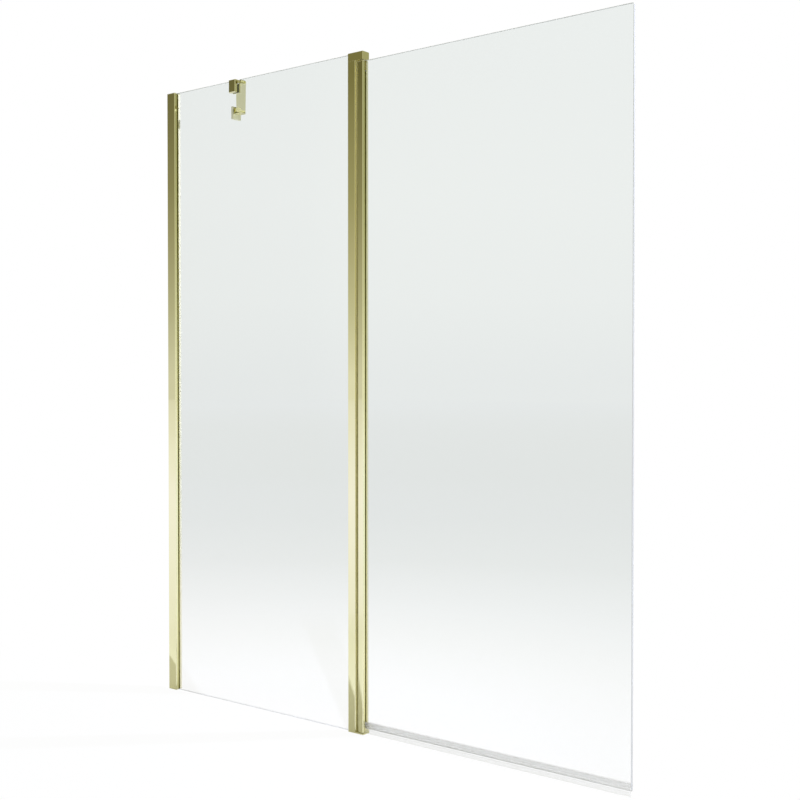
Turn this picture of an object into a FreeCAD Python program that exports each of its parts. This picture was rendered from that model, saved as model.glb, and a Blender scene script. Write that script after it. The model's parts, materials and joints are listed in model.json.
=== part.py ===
import FreeCAD, Part
import math
import os

# Two-panel bath screen. A wall channel holds a fixed pane, a hinge post on the pane's free edge
# carries a swinging pane on a pivoting stile, and a brace arm ties the pane's top back to the wall.
# X runs along the screen from the wall, Y towards the bath, Z up from the bath rim. Millimetres.

Vector = FreeCAD.Vector

# Whole screen
screen_height = 1400.0
screen_width = 1200.0
glass_thickness = 6.0
glass_arris = 0.8
overrun = 1.0
running_clearance = 0.05
seated_clearance = 0.02
loose_clearance = 0.2

# Section shared by the wall channel, the hinge post and the stile
profile_depth = 21.0
profile_wall = 1.6
profile_radius = 1.5
profile_edge_radius = 0.8
gasket_thickness = 1.4
gasket_width = 5.8
gasket_setback = 0.3

# Wall channel and the glazing carrier that slides in it
channel_width = 25.5
channel_web = 2.5
channel_wall = 1.8
channel_lip = 2.2
wall_hole_diameter = 5.5
wall_hole_count = 4
wall_hole_margin = 100.0
channel_cap_thickness = 1.5
channel_cap_plug_depth = 8.0
channel_cap_plug_wall = 1.5
carrier_setback = 9.0
carrier_wall = 1.8
packer_thickness = 2.2
packer_leg = 5.5
packer_length = 40.0
packer_height_shares = (0.08, 0.36, 0.64, 0.92)

# Screws that lock the carrier in the channel, on the bath side
adjuster_shank_diameter = 4.0
adjuster_shank_length = 4.6
adjuster_head_diameter = 7.5
adjuster_head_height = 2.0
adjuster_socket = 2.5
adjuster_socket_depth = 1.2
adjuster_cover_diameter = 11.0
adjuster_cover_height = 3.4
adjuster_cover_wall = 1.0
adjuster_cover_bevel = 1.6
adjuster_height_shares = (0.14, 0.5, 0.86)

# Hinge post and its end pieces
post_place = 557.3
post_width = 19.5
post_slot_depth = 11.5
post_glass_bite = 10.5
post_rib = 1.6
post_port_diameter = 3.0
post_port_wall = 1.5
hinge_slit_width = 3.2
hinge_seal_root = 1.4
hinge_seal_root_width = 5.2
hinge_seal_proud = 1.3
hinge_seal_width = 15.0
cap_height = 17.0
cap_edge_bevel = 0.6
cap_glass_clearance = 0.5
bottom_plate_thickness = 3.0
bottom_peg_length = 12.0
end_screw_diameter = 2.9
end_screw_length = 18.0
end_screw_head_diameter = 5.6
end_screw_head_height = 2.4
end_screw_recess = 0.6
end_screw_socket = 2.0
end_screw_socket_depth = 1.4

# Pivots
pivot_gap = 6.9
pivot_pin_diameter = 5.0
pivot_pin_in_stile = 12.0
pivot_pin_in_cap = 11.5
thrust_washer_diameter = 11.0
bottom_washer_thickness = 1.0
top_washer_thickness = 1.7
top_washer_gap = 0.3

# Stile of the swinging pane
stile_width = 13.7
stile_gap = 6.9
stile_back_radius = 1.2
stile_web = 2.7
stile_plug_plate = 1.5
stile_plug_length = 18.0
stile_glass_edge = 2.1
stile_packer_length = 40.0
stile_packer_shares = (0.12, 0.5, 0.88)

# Swinging pane and its bottom seal
door_glass_foot = 12.0
door_glass_drop = 18.3
door_corner_radius = 4.0
door_notch_clearance = 0.4
seal_foot = 2.0
seal_grip = 14.0
seal_band = 9.6
seal_band_extra = 0.6
seal_wall = 1.2
seal_web = 1.2
seal_fin_start = 2.6
seal_fin_reach = 5.4
seal_fin_drop = 5.8
seal_fin_thickness = 1.0
seal_end_setback = 0.5
seal_swing_clearance = 0.5

# Brace clamp on the top edge of the fixed pane
clamp_place = 217.5
clamp_width = 20.0
clamp_jaw_height = 28.2
clamp_front_jaw = 7.5
clamp_rear_jaw = 4.0
clamp_bridge_height = 8.0
clamp_pad_thickness = 1.0
clamp_pad_margin = 0.8
clamp_edge_chamfer = 0.9
clamp_grub_diameter = 5.0
clamp_grub_height = 10.0
clamp_grub_socket = 2.5
clamp_grub_socket_depth = 2.0
notch_clearance = 0.4
notch_side = 6.0
notch_radius = 3.0

# Brace arm
arm_angle = 44.3
arm_width = 22.5
arm_thickness = 9.0
arm_rise = 2.5
arm_top_bevel = 1.2
arm_bottom_bevel = 0.6
arm_fork_depth = 10.0
arm_clamp_gap = 0.6
arm_tongue_thickness = 4.8
arm_tongue_radius = 7.0
arm_pin_diameter = 6.0

# Wall bracket at the far end of the arm
bracket_pivot_reach = 20.0
bracket_lug_thickness = 3.0
bracket_plate_thickness = 3.0
bracket_plate_width = 26.0
bracket_plate_height = 29.0
bracket_hole_diameter = 4.8
bracket_hole_spacing = 14.0
bracket_hole_margin = 6.0
bracket_cover_width = 28.0
bracket_cover_height = 31.0
bracket_cover_thickness = 6.0
bracket_cover_drop = 16.0
bracket_cover_bevel = 0.8
bracket_cover_skirt = 0.8

# Places worked out from the sizes above
half_depth = profile_depth / 2
half_glass = glass_thickness / 2
half_slot = half_glass + gasket_thickness
channel_height = screen_height - channel_cap_thickness
carrier_mouth = channel_width - channel_lip - loose_clearance
carrier_half = half_depth - channel_wall - loose_clearance
fixed_glass_edge = carrier_setback + carrier_wall + packer_thickness
adjuster_x = (carrier_setback + carrier_mouth) / 2
post_right = post_place + post_width
post_top = screen_height - cap_height
post_slot_end = post_place + post_slot_depth
post_pocket_x = (post_place + profile_wall, post_slot_end)
chamber_left = post_slot_end + post_rib
chamber_right = post_right - profile_wall
port_x = (chamber_left + chamber_right) / 2
port_y = half_depth - profile_wall - post_port_wall - post_port_diameter / 2
stile_left = post_right + stile_gap
stile_right = stile_left + stile_width
pivot_x = stile_left + pivot_gap
door_foot = bottom_plate_thickness + bottom_washer_thickness + running_clearance
door_head = post_top - top_washer_thickness - top_washer_gap
stile_slot_start = stile_left + stile_web
door_glass_left = stile_slot_start + stile_glass_edge
door_glass_head = screen_height - door_glass_drop
clamp_half = clamp_width / 2
clamp_inner = half_glass + clamp_pad_thickness
clamp_rear = clamp_inner + clamp_rear_jaw
clamp_foot = screen_height - clamp_jaw_height
arm_top = screen_height + arm_rise
arm_foot = arm_top - arm_thickness
arm_middle = (arm_top + arm_foot) / 2
arm_pivot_y = clamp_rear + arm_clamp_gap + arm_width / 2
arm_length = (clamp_place - bracket_pivot_reach) / math.cos(math.radians(arm_angle))
bracket_y = arm_pivot_y + arm_length * math.sin(math.radians(arm_angle))
arm_fork_slot = arm_tongue_thickness + 2 * running_clearance
lower_lug_top = arm_foot - running_clearance
upper_lug_foot = arm_top + running_clearance
bracket_foot = arm_foot - bracket_cover_drop
bracket_middle = bracket_foot + bracket_cover_height / 2


def span(middle, width):
    """Lowest and highest value of a width centred on a place."""
    return (middle - width / 2, middle + width / 2)


def block(x, y, z):
    """Block between the lowest and highest X, Y and Z."""
    solid = Part.makeBox(x[1] - x[0], y[1] - y[0], z[1] - z[0])
    solid.translate(Vector(x[0], y[0], z[0]))
    return solid


def upright(x, y, z, diameter):
    """Cylinder standing at a place, from the lowest to the highest Z."""
    return Part.makeCylinder(diameter / 2, z[1] - z[0], Vector(x, y, z[0]))


def crosswise(x, z, y, diameter):
    """Cylinder lying along Y, from the lowest to the highest Y."""
    return Part.makeCylinder(diameter / 2, y[1] - y[0], Vector(x, y[0], z), Vector(0, 1, 0))


def inward(x, y, length, z, diameter):
    """Cylinder lying along X from a place."""
    return Part.makeCylinder(diameter / 2, length, Vector(x, y, z), Vector(1, 0, 0))


def ring(x, y, z, outer, inner):
    """Flat washer standing at a place."""
    return upright(x, y, z, outer).cut(upright(x, y, (z[0] - overrun, z[1] + overrun), inner))


def hexagon(across, depth):
    """Upright hexagonal prism on the origin, for a key socket."""
    corner = across / math.sqrt(3)
    turns = [math.radians(60 * i) for i in range(7)]
    points = [Vector(corner * math.cos(t), corner * math.sin(t), 0) for t in turns]
    return Part.Face(Part.makePolygon(points)).extrude(Vector(0, 0, depth))


def socket_screw(shank, length, head, head_height, socket, socket_depth):
    """Cylinder-head screw on the origin, its shank hanging down and its key socket on top."""
    screw = upright(0, 0, (-length, 0), shank).fuse(upright(0, 0, (0, head_height), head))
    key = hexagon(socket, socket_depth + overrun)
    key.translate(Vector(0, 0, head_height - socket_depth))
    return screw.removeSplitter().cut(key)


def facing_bath(solid, x, y, z):
    """Lays an upright solid down, its top towards the bath, and carries it to a place."""
    solid.rotate(Vector(0, 0, 0), Vector(1, 0, 0), -90)
    solid.translate(Vector(x, y, z))
    return solid


def outline(corners):
    """Closed wire in the XY plane through corners, each given as X, Y and rounding radius."""
    places = [Vector(x, y, 0) for x, y, radius in corners]
    rounds = []
    for i, (x, y, radius) in enumerate(corners):
        before = (places[i - 1] - places[i]).normalize()
        after = (places[(i + 1) % len(places)] - places[i]).normalize()
        half_angle = before.getAngle(after) / 2
        reach = radius / math.tan(half_angle)
        inset = radius / math.sin(half_angle) - radius
        nearest = places[i] + (before + after).normalize() * inset
        rounds.append((places[i] + before * reach, nearest, places[i] + after * reach))
    edges = []
    for i, (start, nearest, end) in enumerate(rounds):
        previous = rounds[i - 1][2]
        if previous.distanceToPoint(start) > seated_clearance:
            edges.append(Part.makeLine(previous, start))
        if corners[i][2] > 0:
            edges.append(Part.Arc(start, nearest, end).toShape())
    return Part.Wire(edges)


def mirrored(half):
    """Whole outline from the corners of its half on the bath side."""
    return half + [(x, -y, radius) for x, y, radius in reversed(half)]


def rectangle(x, y):
    """Square-cornered outline between the lowest and highest X and Y."""
    return [(x[0], y[0], 0), (x[1], y[0], 0), (x[1], y[1], 0), (x[0], y[1], 0)]


def extruded(z, corners, *holes):
    """Upright bar of one section, with holes of other outlines along it."""
    bar = Part.Face(outline(corners)).extrude(Vector(0, 0, z[1] - z[0]))
    bar.translate(Vector(0, 0, z[0]))
    for hole in holes:
        bar = bar.cut(extruded(through(z), hole))
    return bar


def lengthwise(x, corners):
    """Bar along X whose section is given in Y and Z."""
    bar = extruded(x, corners)
    bar.rotate(Vector(0, 0, 0), Vector(1, 1, 1), 120)
    return bar


def through(z):
    """A height range stretched past both ends of a piece."""
    return (z[0] - overrun, z[1] + overrun)


def pane(points, rounded):
    """Glass plate from its outline in X and Z, with rounded corners and arrised edges."""
    corners = [Vector(x, -half_glass, z) for x, z in points]
    plate = Part.Face(Part.makePolygon(corners + corners[:1])).extrude(Vector(0, glass_thickness, 0))
    for (x, z), radius in rounded:
        edges = []
        for edge in plate.Edges:
            ends = [v.Point for v in edge.Vertexes]
            if all(abs(p.x - x) + abs(p.z - z) < seated_clearance for p in ends):
                edges.append(edge)
        plate = plate.makeFillet(radius, edges)
    rims = []
    for edge in plate.Edges:
        if all(abs(abs(v.Point.y) - half_glass) < seated_clearance for v in edge.Vertexes):
            if abs(edge.BoundBox.YLength) < seated_clearance:
                rims.append(edge)
    return plate.makeChamfer(glass_arris, rims)


def wall_holes():
    """Heights of the wall screw holes, evenly spaced between the margins."""
    pitch = (screen_height - 2 * wall_hole_margin) / (wall_hole_count - 1)
    return [wall_hole_margin + pitch * i for i in range(wall_hole_count)]


def adjuster_heights():
    """Heights of the screws that lock the carrier."""
    return [screen_height * share for share in adjuster_height_shares]


def wall_channel():
    """Channel screwed to the wall, open to the glass between two lips."""
    inner = half_depth - channel_wall
    mouth = channel_width - channel_lip
    half = [(channel_web, inner, 0), (mouth, inner, 0), (mouth, half_slot, 0),
            (channel_width, half_slot, 0), (channel_width, half_depth, profile_radius),
            (0, half_depth, profile_edge_radius)]
    bar = extruded((0, channel_height), mirrored(half))
    for height in wall_holes():
        bar = bar.cut(inward(-overrun, 0, channel_web + 2 * overrun, height, wall_hole_diameter))
    bore = adjuster_shank_diameter + 2 * running_clearance
    for height in adjuster_heights():
        bar = bar.cut(crosswise(adjuster_x, height, (half_slot, half_depth + overrun), bore))
    return bar


def channel_top_cap():
    """End cover of the wall channel, with a hollow plug that grips inside it."""
    slot = half_glass + cap_glass_clearance
    half = [(fixed_glass_edge - cap_glass_clearance, slot, 0), (channel_width, slot, 0),
            (channel_width, half_depth, profile_radius), (0, half_depth, profile_edge_radius)]
    plate = extruded((channel_height, screen_height), mirrored(half))
    x = (channel_web + loose_clearance, carrier_setback - loose_clearance)
    y = span(0, profile_depth - 2 * channel_wall - 2 * loose_clearance)
    core_x = (x[0] + channel_cap_plug_wall, x[1] - channel_cap_plug_wall)
    core_y = (y[0] + channel_cap_plug_wall, y[1] - channel_cap_plug_wall)
    plug_z = (channel_height - channel_cap_plug_depth, channel_height)
    plug = extruded(plug_z, rectangle(x, y), rectangle(core_x, core_y))
    return plate.fuse(plug).removeSplitter()


def glazing_carrier():
    """Inner channel that grips the fixed pane and slides in the wall channel to take up its slope."""
    inner = carrier_half - carrier_wall
    lip = carrier_mouth - carrier_wall
    half = [(carrier_setback + carrier_wall, inner, 0), (lip, inner, 0), (lip, half_slot, 0),
            (carrier_mouth, half_slot, 0), (carrier_mouth, carrier_half, 0),
            (carrier_setback, carrier_half, 0)]
    bar = extruded((0, channel_height), mirrored(half))
    bore = adjuster_shank_diameter + 2 * seated_clearance
    for height in adjuster_heights():
        bar = bar.cut(crosswise(adjuster_x, height, (half_slot, half_depth), bore))
    return bar


def edge_packers():
    """Packers pushed over the pane's edge inside the carrier."""
    inner = carrier_half - carrier_wall - seated_clearance
    end = fixed_glass_edge + packer_leg
    half = [(fixed_glass_edge, half_glass, 0), (end, half_glass, 0), (end, inner, 0),
            (carrier_setback + carrier_wall, inner, 0)]
    heights = [screen_height * share for share in packer_height_shares]
    return Part.Compound([extruded(span(height, packer_length), mirrored(half)) for height in heights])


def adjuster_screws():
    """Screws through the channel's bath side into the carrier."""
    screws = []
    for height in adjuster_heights():
        screw = socket_screw(adjuster_shank_diameter, adjuster_shank_length, adjuster_head_diameter,
                             adjuster_head_height, adjuster_socket, adjuster_socket_depth)
        screws.append(facing_bath(screw, adjuster_x, half_depth, height))
    return Part.Compound(screws)


def adjuster_screw_covers():
    """Domed covers snapped over the adjuster screws."""
    covers = []
    for height in adjuster_heights():
        dome = upright(0, 0, (0, adjuster_cover_height), adjuster_cover_diameter)
        rim = [e for e in dome.Edges if e.BoundBox.ZMin > adjuster_cover_height - seated_clearance]
        dome = dome.makeChamfer(adjuster_cover_bevel, rim)
        hollow = adjuster_cover_diameter - 2 * adjuster_cover_wall
        dome = dome.cut(upright(0, 0, (-overrun, adjuster_cover_height - adjuster_cover_wall), hollow))
        covers.append(facing_bath(dome, adjuster_x, half_depth, height))
    return Part.Compound(covers)


def gasket(x, z, side):
    """Glazing strip between the pane and one lip; side is -1 on the front and 1 on the bath side."""
    y = sorted((side * half_glass, side * half_slot))
    return block(x, y, z)


def wall_gasket(side):
    """Strip in the mouth of the wall channel."""
    mouth = channel_width - gasket_setback
    return gasket((mouth - gasket_width, mouth), (0, channel_height), side)


def post_gasket(side):
    """Strip in the mouth of the hinge post."""
    mouth = post_place + gasket_setback
    return gasket((mouth, mouth + gasket_width), (bottom_plate_thickness, post_top), side)


def stile_gasket(side):
    """Strip in the mouth of the stile, between its two plugs."""
    mouth = stile_right - gasket_setback
    ends = stile_plug_plate + stile_plug_length
    return gasket((mouth - gasket_width, mouth), (door_foot + ends, door_head - ends), side)


def fixed_glass():
    """Fixed pane, notched at the top for the brace clamp."""
    left = fixed_glass_edge
    right = post_place + post_glass_bite
    notch = span(clamp_place, clamp_width + 2 * notch_side)
    floor = screen_height - clamp_bridge_height - notch_clearance
    points = [(left, 0), (right, 0), (right, screen_height), (notch[1], screen_height), (notch[1], floor),
              (notch[0], floor), (notch[0], screen_height), (left, screen_height)]
    return pane(points, [((notch[0], floor), notch_radius), ((notch[1], floor), notch_radius)])


def cheek_pockets(x, clearance):
    """Outlines of the two hollows in an upright's cheeks, one each side of its glazing slot."""
    x = (x[0] + clearance, x[1] - clearance)
    y = (half_slot + profile_wall + clearance, half_depth - profile_wall - clearance)
    return rectangle(x, y), rectangle(x, (-y[1], -y[0]))


def hinge_post():
    """Hollow upright with a glazing slot, screw ports and a slit for the hinge seal."""
    z = (bottom_plate_thickness, post_top)
    slit = hinge_slit_width / 2
    chamber = port_y - post_port_diameter / 2 - post_port_wall
    half = [(post_slot_end, half_slot, 0), (post_place, half_slot, 0),
            (post_place, half_depth, profile_edge_radius), (post_right, half_depth, profile_radius),
            (post_right, slit, 0), (chamber_right, slit, 0), (chamber_right, chamber, 0),
            (chamber_left, chamber, 0)]
    bar = extruded(z, mirrored(half), *cheek_pockets(post_pocket_x, 0))
    for y in (-port_y, port_y):
        bar = bar.cut(upright(port_x, y, through(z), post_port_diameter))
    return bar


def hinge_seal():
    """Soft strip rooted in the post's slit, closing the gap to the stile."""
    root = hinge_seal_root_width / 2
    neck = hinge_slit_width / 2 - loose_clearance
    lip = hinge_seal_width / 2
    half = [(chamber_right - hinge_seal_root, root, 0), (chamber_right, root, 0), (chamber_right, neck, 0),
            (post_right, neck, 0), (post_right, lip, 0),
            (post_right + hinge_seal_proud, lip, hinge_seal_proud / 2)]
    return extruded((bottom_plate_thickness, post_top), mirrored(half))


def hinge_outline():
    """Outline over post and stile, slotted for the fixed pane."""
    slot = half_glass + cap_glass_clearance
    return mirrored([(post_slot_end, slot, 0), (post_place, slot, 0),
                     (post_place, half_depth, profile_edge_radius),
                     (stile_right, half_depth, profile_radius)])


def post_top_cap():
    """Cap on the post that reaches over the stile and holds its upper pivot."""
    z = (post_top, screen_height)
    cap = extruded(z, hinge_outline())
    rim = [e for e in cap.Edges if e.BoundBox.ZMin > screen_height - seated_clearance]
    cap = cap.makeChamfer(cap_edge_bevel, rim)
    seat = screen_height - end_screw_recess - end_screw_head_height
    for y in (-port_y, port_y):
        cap = cap.cut(upright(port_x, y, through(z), end_screw_diameter + 2 * loose_clearance))
        head = end_screw_head_diameter + 2 * loose_clearance
        cap = cap.cut(upright(port_x, y, (seat, screen_height + overrun), head))
    bore = pivot_pin_diameter + 2 * seated_clearance
    socket = (post_top - overrun, post_top + pivot_pin_in_cap + seated_clearance)
    return cap.cut(upright(pivot_x, 0, socket, bore))


def top_cap_screws():
    """Screws from the cap down into the post's ports."""
    seat = screen_height - end_screw_recess - end_screw_head_height
    length = seat - post_top + end_screw_length
    screws = []
    for y in (-port_y, port_y):
        screw = socket_screw(end_screw_diameter, length, end_screw_head_diameter, end_screw_head_height,
                             end_screw_socket, end_screw_socket_depth)
        screw.translate(Vector(port_x, y, seat))
        screws.append(screw)
    return Part.Compound(screws)


def post_bottom_plate():
    """Plate under post and stile, pegged into the post's pockets, that holds the lower pivot."""
    z = (0, bottom_plate_thickness)
    peg_z = (bottom_plate_thickness, bottom_plate_thickness + bottom_peg_length)
    plate = extruded(z, hinge_outline())
    for peg in cheek_pockets(post_pocket_x, seated_clearance):
        plate = plate.fuse(extruded(peg_z, peg))
    bore = pivot_pin_diameter + 2 * seated_clearance
    return plate.cut(upright(pivot_x, 0, through(z), bore)).removeSplitter()


def top_pivot_pin():
    """Pin fixed in the cap, reaching down into the stile."""
    z = (door_head - pivot_pin_in_stile, post_top + pivot_pin_in_cap)
    return upright(pivot_x, 0, z, pivot_pin_diameter)


def bottom_pivot_pin():
    """Pin pressed through the bottom plate, reaching up into the stile."""
    return upright(pivot_x, 0, (0, door_foot + pivot_pin_in_stile), pivot_pin_diameter)


def top_thrust_washer():
    """Washer under the cap, round the upper pivot."""
    z = (post_top - top_washer_thickness, post_top)
    return ring(pivot_x, 0, z, thrust_washer_diameter, pivot_pin_diameter + 2 * running_clearance)


def bottom_thrust_washer():
    """Washer on the bottom plate that carries the swinging panel."""
    z = (bottom_plate_thickness, bottom_plate_thickness + bottom_washer_thickness)
    return ring(pivot_x, 0, z, thrust_washer_diameter, pivot_pin_diameter + 2 * running_clearance)


def door_stile():
    """Hollow upright of the swinging panel, with its glazing slot."""
    z = (door_foot + stile_plug_plate, door_head - stile_plug_plate)
    half = [(stile_slot_start, half_slot, 0), (stile_right, half_slot, 0),
            (stile_right, half_depth, profile_radius), (stile_left, half_depth, stile_back_radius)]
    return extruded(z, mirrored(half), *cheek_pockets((stile_slot_start, stile_right - profile_wall), 0))


def stile_plug(plate_z, plug_z):
    """End plug of the stile: a plate of its outline and a bored block in its slot."""
    half = [(stile_right, half_depth, profile_radius), (stile_left, half_depth, stile_back_radius)]
    x = (stile_slot_start + seated_clearance, stile_right)
    plug = extruded(plug_z, rectangle(x, span(0, 2 * (half_slot - seated_clearance))))
    whole = extruded(plate_z, mirrored(half)).fuse(plug).removeSplitter()
    z = (min(plate_z[0], plug_z[0]), max(plate_z[1], plug_z[1]))
    return whole.cut(upright(pivot_x, 0, through(z), pivot_pin_diameter + 2 * running_clearance))


def stile_top_plug():
    """Upper end plug, turning on the upper pivot pin."""
    seat = door_head - stile_plug_plate
    return stile_plug((seat, door_head), (seat - stile_plug_length, seat))


def stile_bottom_plug():
    """Lower end plug, standing on the thrust washer."""
    seat = door_foot + stile_plug_plate
    return stile_plug((door_foot, seat), (seat, seat + stile_plug_length))


def stile_packers():
    """Packers between the swinging pane's edge and the stile's web."""
    x = (stile_slot_start, door_glass_left)
    y = span(0, 2 * (half_slot - loose_clearance))
    heights = [door_foot + (door_head - door_foot) * share for share in stile_packer_shares]
    return Part.Compound([block(x, y, span(height, stile_packer_length)) for height in heights])


def moving_glass():
    """Swinging pane, cut back at its hinge corners for the stile's plugs."""
    inner = stile_right + door_notch_clearance
    low = door_foot + stile_plug_plate + stile_plug_length + door_notch_clearance
    high = door_head - stile_plug_plate - stile_plug_length - door_notch_clearance
    points = [(inner, door_glass_foot), (screen_width, door_glass_foot), (screen_width, door_glass_head),
              (inner, door_glass_head), (inner, high), (door_glass_left, high), (door_glass_left, low),
              (inner, low)]
    corners = [((screen_width, door_glass_head), door_corner_radius)]
    return pane(points, corners)


def bottom_seal():
    """Clear strip clipped under the swinging pane, with a front skirt and a drip fin to the bath."""
    front = -half_glass
    rear = half_glass
    crown = door_glass_foot + seal_grip
    web = door_glass_foot - seal_web
    skirt = front - seal_wall
    band = skirt - seal_band_extra
    leg = rear + seal_wall
    fin_z = door_glass_foot + seal_fin_start
    tip_y = leg + seal_fin_reach
    tip_z = fin_z - seal_fin_drop
    section = [(front, crown), (front, door_glass_foot), (rear, door_glass_foot), (rear, crown),
               (leg, crown), (leg, fin_z), (tip_y, tip_z),
               (tip_y - seal_fin_thickness, tip_z - seal_fin_thickness),
               (leg - seal_fin_thickness, web), (front, web), (front, seal_foot), (skirt, seal_foot),
               (skirt, crown - seal_band), (band, crown - seal_band), (band, crown)]
    start = stile_right + door_notch_clearance
    strip = lengthwise((start, screen_width - seal_end_setback), [(y, z, 0) for y, z in section])
    swing = math.hypot(stile_right - pivot_x, half_depth) + seal_swing_clearance
    trim_x = (start - overrun, pivot_x + swing)
    trim_z = (seal_foot - overrun, bottom_plate_thickness + seal_swing_clearance)
    return strip.cut(block(trim_x, span(0, profile_depth), trim_z))


def clamp_body():
    """Saddle in the pane's notch: front jaw, bridge, rear jaw and the tongue that carries the arm."""
    x = span(clamp_place, clamp_width)
    front = -clamp_inner - clamp_front_jaw
    bridge = screen_height - clamp_bridge_height
    section = [(front, clamp_foot, 0), (-clamp_inner, clamp_foot, 0), (-clamp_inner, bridge, 0),
               (clamp_inner, bridge, 0), (clamp_inner, clamp_foot, 0), (clamp_rear, clamp_foot, 0),
               (clamp_rear, screen_height, 0), (front, screen_height, 0)]
    saddle = lengthwise(x, section)
    face = [e for e in saddle.Edges if e.BoundBox.YMax < front + seated_clearance]
    saddle = saddle.makeChamfer(clamp_edge_chamfer, face)
    tongue_x = span(clamp_place, 2 * arm_tongue_radius)
    tip = arm_pivot_y + arm_tongue_radius
    tongue = extruded(span(arm_middle, arm_tongue_thickness), [
        (tongue_x[0], clamp_inner, 0), (tongue_x[1], clamp_inner, 0), (tongue_x[1], tip, arm_tongue_radius),
        (tongue_x[0], tip, arm_tongue_radius)])
    body = saddle.fuse(tongue).removeSplitter()
    pin_z = through((clamp_foot, arm_top))
    body = body.cut(upright(clamp_place, arm_pivot_y, pin_z, arm_pin_diameter + 2 * running_clearance))
    grub_y = (clamp_inner - overrun, clamp_rear + overrun)
    bore = clamp_grub_diameter + 2 * seated_clearance
    return body.cut(crosswise(clamp_place, clamp_foot + clamp_grub_height, grub_y, bore))


def clamp_pad(side):
    """Rubber pad between one jaw and the pane."""
    y = sorted((side * half_glass, side * clamp_inner))
    z = (clamp_foot + clamp_pad_margin, screen_height - clamp_bridge_height - notch_clearance)
    return block(span(clamp_place, clamp_width - 2 * clamp_pad_margin), y, z)


def clamp_grub_screw():
    """Screw in the rear jaw that presses its pad on the pane."""
    screw = upright(0, 0, (0, clamp_rear_jaw), clamp_grub_diameter)
    key = hexagon(clamp_grub_socket, clamp_grub_socket_depth + overrun)
    key.translate(Vector(0, 0, clamp_rear_jaw - clamp_grub_socket_depth))
    return facing_bath(screw.cut(key), clamp_place, clamp_inner, clamp_foot + clamp_grub_height)


def support_arm():
    """Flat brace arm with round ends, forked over the clamp's tongue."""
    half = arm_width / 2
    end = arm_length + half
    arm = extruded((arm_foot, arm_top), [(-half, -half, half), (end, -half, half), (end, half, half),
                                         (-half, half, half)])
    top = [e for e in arm.Edges if e.BoundBox.ZMin > arm_top - seated_clearance]
    arm = arm.makeChamfer(arm_top_bevel, top)
    foot = [e for e in arm.Edges if e.BoundBox.ZMax < arm_foot + seated_clearance]
    arm = arm.makeChamfer(arm_bottom_bevel, foot)
    slot_x = (-half - overrun, arm_fork_depth)
    arm = arm.cut(block(slot_x, span(0, arm_width + 2 * overrun), span(arm_middle, arm_fork_slot)))
    z = through((arm_foot, arm_top))
    arm = arm.cut(upright(0, 0, z, arm_pin_diameter + 2 * seated_clearance))
    arm = arm.cut(upright(arm_length, 0, z, arm_pin_diameter + 2 * running_clearance))
    arm.rotate(Vector(0, 0, 0), Vector(0, 0, 1), 180 - arm_angle)
    arm.translate(Vector(clamp_place, arm_pivot_y, 0))
    return arm


def arm_pin():
    """Pin fixed in the arm's fork, turning in the clamp's tongue."""
    inset = arm_bottom_bevel
    return upright(clamp_place, arm_pivot_y, (arm_foot + inset, arm_top - inset), arm_pin_diameter)


def wall_bracket():
    """Wall plate with two lugs that take the arm's far end between them."""
    plate_z = span(bracket_middle, bracket_plate_height)
    plate = block((0, bracket_plate_thickness), span(bracket_y, bracket_plate_width), plate_z)
    y = span(bracket_y, arm_width)
    tip = bracket_pivot_reach + arm_width / 2
    lug = [(0, y[0], 0), (tip, y[0], arm_width / 2), (tip, y[1], arm_width / 2), (0, y[1], 0)]
    low = lower_lug_top - bracket_lug_thickness
    high = upper_lug_foot + bracket_lug_thickness
    for z in ((low, lower_lug_top), (upper_lug_foot, high)):
        plate = plate.fuse(extruded(z, lug))
    plate = plate.removeSplitter()
    bore = arm_pin_diameter + 2 * seated_clearance
    plate = plate.cut(upright(bracket_pivot_reach, bracket_y, through((low, high)), bore))
    hole_z = plate_z[0] + bracket_hole_margin
    for y in span(bracket_y, bracket_hole_spacing):
        hole = inward(-overrun, y, bracket_plate_thickness + 2 * overrun, hole_z, bracket_hole_diameter)
        plate = plate.cut(hole)
    return plate


def bracket_cover():
    """Cover pushed over the lugs to hide the wall plate and its screws."""
    z = span(bracket_middle, bracket_cover_height)
    cover = block((0, bracket_cover_thickness), span(bracket_y, bracket_cover_width), z)
    face = [e for e in cover.Edges if e.BoundBox.XMin > bracket_cover_thickness - seated_clearance]
    cover = cover.makeChamfer(bracket_cover_bevel, face)
    inner_y = span(bracket_y, bracket_cover_width - 2 * bracket_cover_skirt)
    inner_z = span(bracket_middle, bracket_cover_height - 2 * bracket_cover_skirt)
    deep = bracket_plate_thickness + loose_clearance
    cover = cover.cut(block((-overrun, deep), inner_y, inner_z))
    window_z = (lower_lug_top - bracket_lug_thickness - loose_clearance,
                upper_lug_foot + bracket_lug_thickness + loose_clearance)
    window_y = span(bracket_y, arm_width + 2 * loose_clearance)
    return cover.cut(block((0, bracket_cover_thickness + overrun), window_y, window_z))


def bracket_pin():
    """Pin fixed in the bracket's lugs, on which the arm's far end turns."""
    z = (lower_lug_top - bracket_lug_thickness, upper_lug_foot + bracket_lug_thickness)
    return upright(bracket_pivot_reach, bracket_y, z, arm_pin_diameter)


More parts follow.
